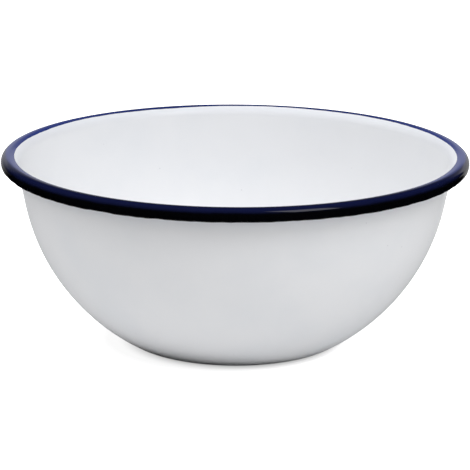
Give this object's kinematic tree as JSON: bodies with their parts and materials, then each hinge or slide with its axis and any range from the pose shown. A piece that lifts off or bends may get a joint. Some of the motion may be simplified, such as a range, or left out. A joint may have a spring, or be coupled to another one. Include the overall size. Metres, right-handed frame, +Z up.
{
  "type": "enamel basin bowl",
  "caption": "Round enamelled steel basin bowl with a deep curved wall, a flat base and a rolled, dark-coated rim, for mixing, washing or serving.",
  "frame": {"origin": "on the bowl's axis, in the plane of the ring that stands on the table", "axes": "+Z up along the bowl's axis, towards the open mouth; X and Y across the mouth"},
  "size_m": [0.16, 0.16, 0.066],
  "materials": {
    "steel_sheet": "bare drawn sheet, hidden under the enamel",
    "ground_enamel": "fired dark ground coat, hidden under the cover coats",
    "white_enamel": "glossy opaque white vitreous enamel",
    "blue_enamel": "glossy dark navy vitreous enamel"
  },
  "bodies": {
    "root": {"steel_shell": "steel_sheet", "ground_coat_inside": "ground_enamel", "ground_coat_outside": "ground_enamel", "white_coat_inside": "white_enamel", "white_coat_outside": "white_enamel", "blue_rim_coat": "blue_enamel"}
  },
  "joints": []
}
